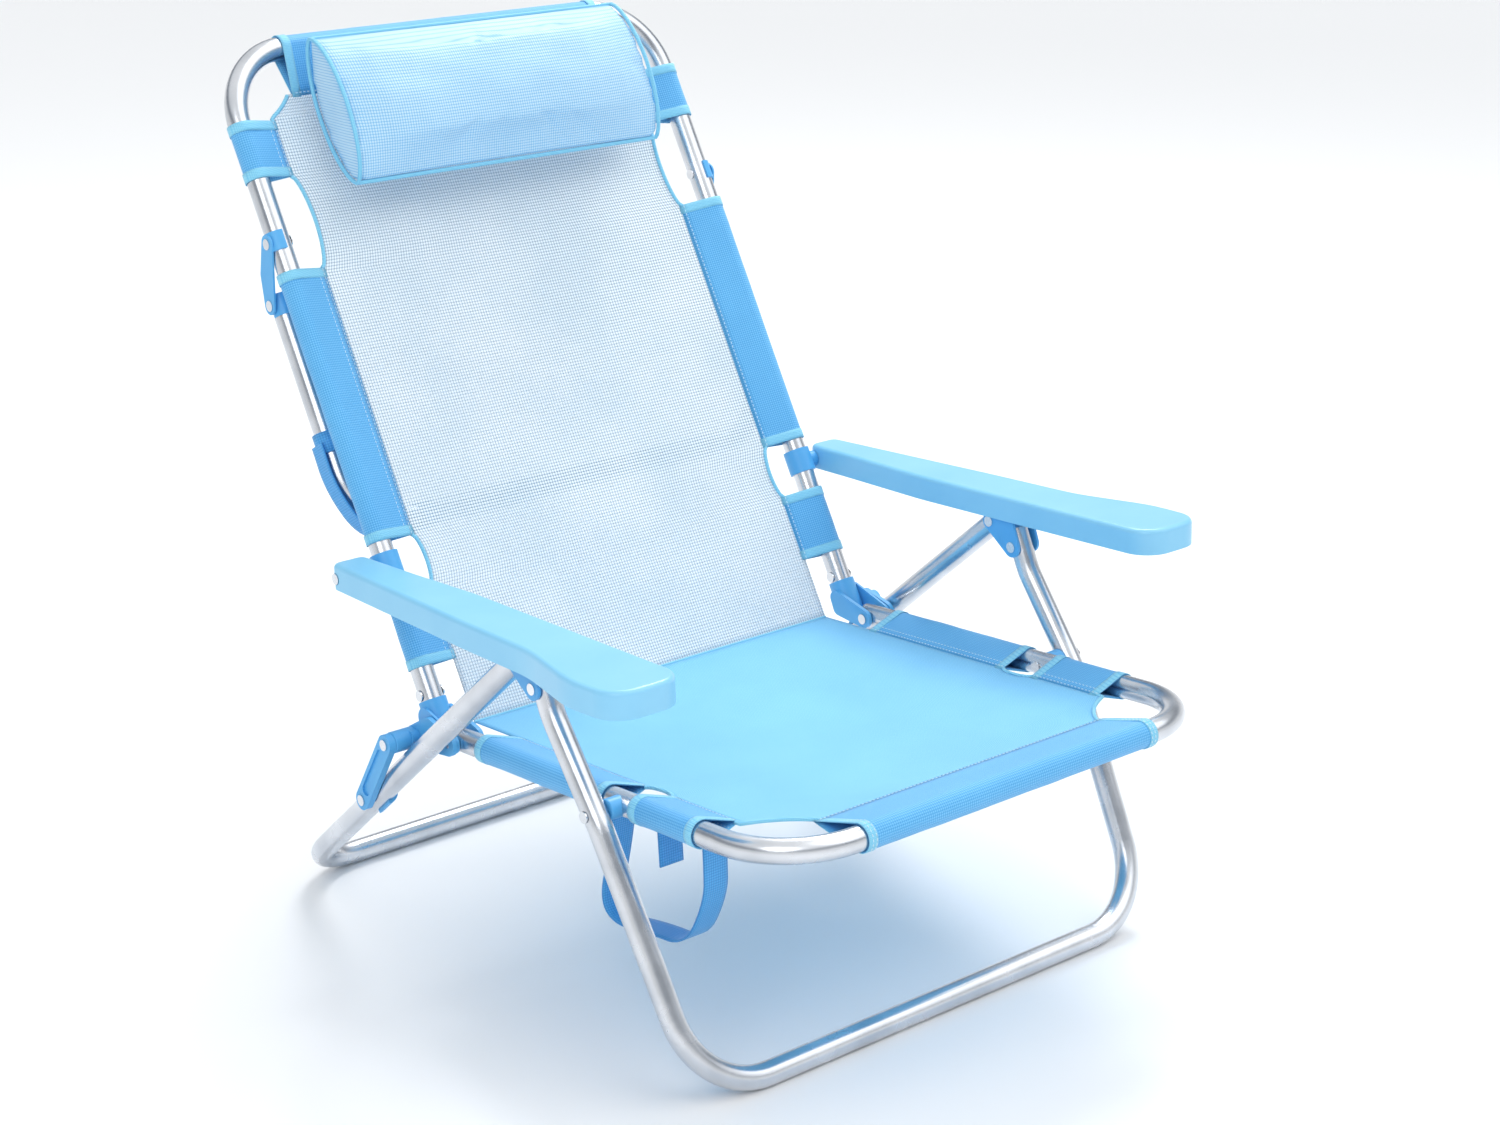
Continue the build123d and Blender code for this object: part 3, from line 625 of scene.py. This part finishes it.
seat_lines = hem_lines(on_seat, SEAT_SLEEVES, -1) + hem_lines(on_seat, SEAT_SLEEVES, 1)
back_lines = hem_lines(on_back, BACK_SLEEVES, -1) + hem_lines(on_back, BACK_SLEEVES, 1)
for face in (-1, 1):
    seat_lines.append([on_seat(x, SEAT_BAR - FRONT_HEM + 0.004, face * 0.0020)
                       for x in spaced(-FRONT_SLEEVE + 0.004, FRONT_SLEEVE - 0.004, 0.02)])
    back_lines.append([on_back(x, BACK_BAR - TOP_HEM + 0.004, face * 0.0020)
                       for x in spaced(-TOP_SLEEVE + 0.004, TOP_SLEEVE - 0.004, 0.02)])
for s in (0.0035, 0.0075):
    seat_lines += [[front_bar(out, up, sign * (FRONT_SLEEVE - s))
                    for out, up in teardrop(TAPE_R + 0.0008, FRONT_HEM)] for sign in (-1, 1)]
stitch("seat_stitches", seat_lines, "seat")
stitch("back_stitches", back_lines, "back")

# %% [markdown]
# ## Head pillow
# Two lens-shaped ends close a tube of the same weave, filled with soft fibre. The plain form is
# remeshed and swollen by a cloth simulation. Its seams don't give, so the movement fades out near them.

# %% Pillow
PILLOW_X = 0.175
PILLOW_TOP = 0.667
PILLOW_FOOT = 0.523
PILLOW_FRONT = 0.045
LENS_STEPS = 16
LENS_DEPTH = 0.026
VOXEL = 0.005
PIPING_R = 0.0020


def lens_section(x, half_depth):
    """The pillow's outline in the side view at x: two bows that meet at the top and bottom seams."""
    points = []
    for k in range(2 * LENS_STEPS):
        angle = 2 * pi * k / (2 * LENS_STEPS)
        along = (PILLOW_TOP + PILLOW_FOOT) / 2 + (PILLOW_TOP - PILLOW_FOOT) / 2 * cos(angle)
        bow = half_depth * abs(sin(angle)) ** 1.25 * (1 if sin(angle) >= 0 else -1)
        points.append(on_back(x, along, PILLOW_FRONT + bow))
    return points


def make_pillow():
    rows = [lens_section(x, LENS_DEPTH) for x in spaced(-PILLOW_X, PILLOW_X, 0.012)]
    around = len(rows[0])
    points = [p for row in rows for p in row]
    faces = []
    for i in range(len(rows) - 1):
        for j in range(around):
            k = (j + 1) % around
            faces.append((i * around + j, (i + 1) * around + j, (i + 1) * around + k, i * around + k))
    faces.append(tuple(range(around)))
    faces.append(tuple((len(rows) - 1) * around + k for k in reversed(range(around))))
    mesh = bpy.data.meshes.new("pillow")
    mesh.from_pydata([tuple(p) for p in points], [], faces)
    piece = bpy.data.objects.new("pillow", mesh)
    bpy.context.scene.collection.objects.link(piece)
    voxels = piece.modifiers.new("remesh", "REMESH")
    voxels.mode = "VOXEL"
    voxels.voxel_size = VOXEL
    settle(piece)
    return piece


pillow = make_pillow()
rest = [v.co.copy() for v in pillow.data.vertices]
CAP = 0.012
FRAMES = 20
air = pillow.modifiers.new("cloth", "CLOTH")
air.settings.use_pressure = True
air.settings.uniform_pressure_force = 4.0
air.settings.effector_weights.gravity = 0.0
air.settings.quality = 5
air.point_cache.frame_start = 1
air.point_cache.frame_end = FRAMES
for number in range(1, FRAMES + 1):
    bpy.context.scene.frame_set(number)
graph = bpy.context.evaluated_depsgraph_get()
swollen = [v.co.copy() for v in pillow.evaluated_get(graph).data.vertices]
pillow.modifiers.clear()
bpy.context.scene.frame_set(1)
along_dir = (on_back(0, 1.0) - on_back(0, 0.0)).normalized()
front_dir = (on_back(0, 0.0, 1.0) - on_back(0, 0.0, 0.0)).normalized()
base_point = on_back(0, 0)
for vertex, old, new in zip(pillow.data.vertices, rest, swollen):
    s = (old - base_point).dot(along_dir)
    near_end = (PILLOW_X - abs(old.x)) / 0.05
    near_seam = min(PILLOW_TOP - s, s - PILLOW_FOOT) / 0.03
    free = min(1.0, max(0.0, near_seam)) * min(1.0, 0.25 + max(0.0, near_end))
    move = (new - old) * free
    if move.length > CAP:
        move = move.normalized() * CAP
    crumple = 0.0012 * noise.noise(Vector((old.x * 18, s * 40, 3.0))) * free
    vertex.co = old + move + front_dir * crumple
pillow.data.materials.clear()
pillow.data.materials.append(PILLOW_WEAVE)
pillow.data.polygons.foreach_set("use_smooth", [True] * len(pillow.data.polygons))
smoother = pillow.modifiers.new("smooth", "SUBSURF")
smoother.levels = 1
smoother.render_levels = 1
settle(pillow)
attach(pillow, "pillow")
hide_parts("head_pillow")

end_rings = []
for sign in (-1, 1):
    outwards = Vector((0.001 * sign, 0, 0))
    ring = [point + outwards for point in lens_section(sign * PILLOW_X, LENS_DEPTH + 0.0002)]
    end_rings.append((ring, True))
seam_lines = [([on_back(x, s, PILLOW_FRONT) for x in spaced(-PILLOW_X, PILLOW_X, 0.02)], False)
              for s in (PILLOW_TOP, PILLOW_FOOT)]
pillow_piping = piping("pillow_piping", end_rings + seam_lines, PIPING_R, TAPE)
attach(pillow_piping, "pillow")
print("pillow:", len(pillow.data.polygons), "faces")

# %% [markdown]
# ## Webbing straps
# Webbing is flat and stiff across, so each strap is a ribbon along a rounded route rather than a
# simulated cloth. The corners of the route are cut three times into a smooth bend.

# %% Straps
def rounded(points, rounds=3):
    """Cuts the corners of a route until it bends smoothly."""
    for _ in range(rounds):
        cut = [points[0]]
        for a, b in zip(points, points[1:]):
            cut += [a * 0.75 + b * 0.25, a * 0.25 + b * 0.75]
        points = cut + [points[-1]]
    return points


def ribbon(name, route, width, thick, across=Vector((1, 0, 0))):
    """A strap of webbing along a route, lying across the given direction."""
    rows = []
    for point in route:
        rows.append([point + across * width * (k / 6 - 0.5) for k in range(7)])
    return cloth(name, rows, STRAP, thick)


def from_hinge(x, y, z):
    return Vector((x, HINGE[0] + y, HINGE[1] + z))


STRAP_X = -0.2195
STRAP_W = 0.025
STRAP_T = 0.0018
STAY_STRAP_W = 0.020
loop_route = rounded([on_seat(STRAP_X, 0.316, -0.001), on_seat(STRAP_X, 0.316, -0.040),
                      on_seat(STRAP_X, 0.314, -0.072), from_hinge(STRAP_X, -0.292, -0.0995),
                      from_hinge(STRAP_X, -0.240, -0.1055), from_hinge(STRAP_X, -0.195, -0.1155),
                      from_hinge(STRAP_X, -0.174, -0.100), from_hinge(STRAP_X, -0.188, -0.050),
                      on_seat(STRAP_X, 0.200, -0.001)])
carry_strap = ribbon("carry_strap_webbing", loop_route, STRAP_W, STRAP_T)
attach(carry_strap, "seat")
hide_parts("carry_strap")
tab_route = [on_seat(STRAP_X, 0.256, -d) for d in spaced(0.001, 0.058, 0.004)]
tab = ribbon("strap_tab_webbing", tab_route, STRAP_W, STRAP_T)
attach(tab, "seat")
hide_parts("strap_tab")
CUFF_R = TUBE_R + 0.0008
STAY_BACK = -0.030


def cuff(name, centre, along, up):
    """A turn of webbing round a tube, as wide as the strap."""
    side_dir = along.cross(up)
    rows = []
    for k in range(2):
        offset = along * STAY_STRAP_W * (k - 0.5)
        rows.append([centre + offset + (up * cos(a) + side_dir * sin(a)) * CUFF_R
                     for a in [2 * pi * n / 28 for n in range(28)]])
    return cloth(name, rows, STRAP, 0.0012, closed=True, offset=1.0 if name.endswith("side") else -1.0)


stay_band_route = rounded([on_back(-RAIL - 0.0125, 0.304, STAY_BACK),
                           on_back(-RAIL - 0.013, 0.262, STAY_BACK),
                           on_back(-RAIL + 0.004, 0.214, STAY_BACK), on_back(-0.212, 0.2045, STAY_BACK),
                           on_back(-0.176, 0.2052, STAY_BACK)])
stay_strap = ribbon("stay_strap_webbing", stay_band_route, STAY_STRAP_W, 0.0014, across=-front_dir)
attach(stay_strap, "rear_stay")
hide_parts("stay_strap")
side_cuff = cuff("stay_cuff_side", on_back(-RAIL, 0.304, STAY_BACK), along_dir, front_dir)
bar_cuff = cuff("stay_cuff_bar", on_back(-0.176, 0.218, STAY_BACK), Vector((1, 0, 0)), front_dir)
for piece in (side_cuff, bar_cuff):
    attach(piece, "rear_stay")


def run(route):
    return sum((b - a).length for a, b in zip(route, route[1:]))


print("straps:", round(run(loop_route), 3), round(run(tab_route), 3), round(run(stay_band_route), 3), "m")

# %% [markdown]
# ## Floor and light
# A plain pale floor, a soft light from the upper right behind the chair, a weak one from its front right
# and an even daylight. The surround is white with one grey band, which the tube mirrors as streaks.

# %% Studio
floor_mesh = bpy.data.meshes.new("floor")
FLOOR_HALF = 40.0
floor_corners = [(x * FLOOR_HALF, y * FLOOR_HALF, 0) for x, y in ((-1, -1), (1, -1), (1, 1), (-1, 1))]
floor_mesh.from_pydata(floor_corners, [], [(0, 1, 2, 3)])
floor = bpy.data.objects.new("floor", floor_mesh)
bpy.context.scene.collection.objects.link(floor)
FLOOR, floor_tree, floor_shader = finish("pale studio floor")
floor_shader.inputs["Base Color"].default_value = linear("#F4F5F6")
floor_shader.inputs["Roughness"].default_value = 0.7
floor_mesh.materials.append(FLOOR)


def soft_light(name, place, aim, size, power):
    data = bpy.data.lights.new(name, "AREA")
    data.energy = power
    data.shape = "DISK"
    data.size = size
    light = bpy.data.objects.new(name, data)
    light.location = place
    light.rotation_euler = (Vector(aim) - Vector(place)).to_track_quat("-Z", "Y").to_euler()
    bpy.context.scene.collection.objects.link(light)


soft_light("key light", (1.6, 1.2, 2.8), (0, 0, 0.3), 1.2, 48)
fill = bpy.data.lights.new("even daylight", "SUN")
fill.energy = 0.8
fill.angle = radians(60)
fill_light = bpy.data.objects.new("even daylight", fill)
fill_light.rotation_euler = (radians(25), radians(30), 0)
bpy.context.scene.collection.objects.link(fill_light)
soft_light("front light", (-2.4, -1.6, 2.2), (0, 0, 0.4), 2.0, 22)
world = bpy.data.worlds.new("surround")
world.use_nodes = True
sky = world.node_tree
direction = add(sky, "ShaderNodeTexCoord").outputs["Generated"]
height = add(sky, "ShaderNodeSeparateXYZ", links={"Vector": direction}).outputs["Z"]
banded = add(sky, "ShaderNodeValToRGB", links={"Fac": height},
             ramp=((0.0, "#FFFFFF"), (1.0, "#FFFFFF"), (0.12, "#FFFFFF"), (0.30, "#8F969E"),
                   (0.42, "#787F88"), (0.60, "#F4F6F8")))
sky.links.new(banded.outputs["Color"], sky.nodes["Background"].inputs["Color"])
sky.nodes["Background"].inputs["Strength"].default_value = 1.0
bpy.context.scene.world = world
bpy.context.scene.view_settings.view_transform = "Standard"

print("studio: floor", 2 * FLOOR_HALF, "m across, three lights and a banded surround")
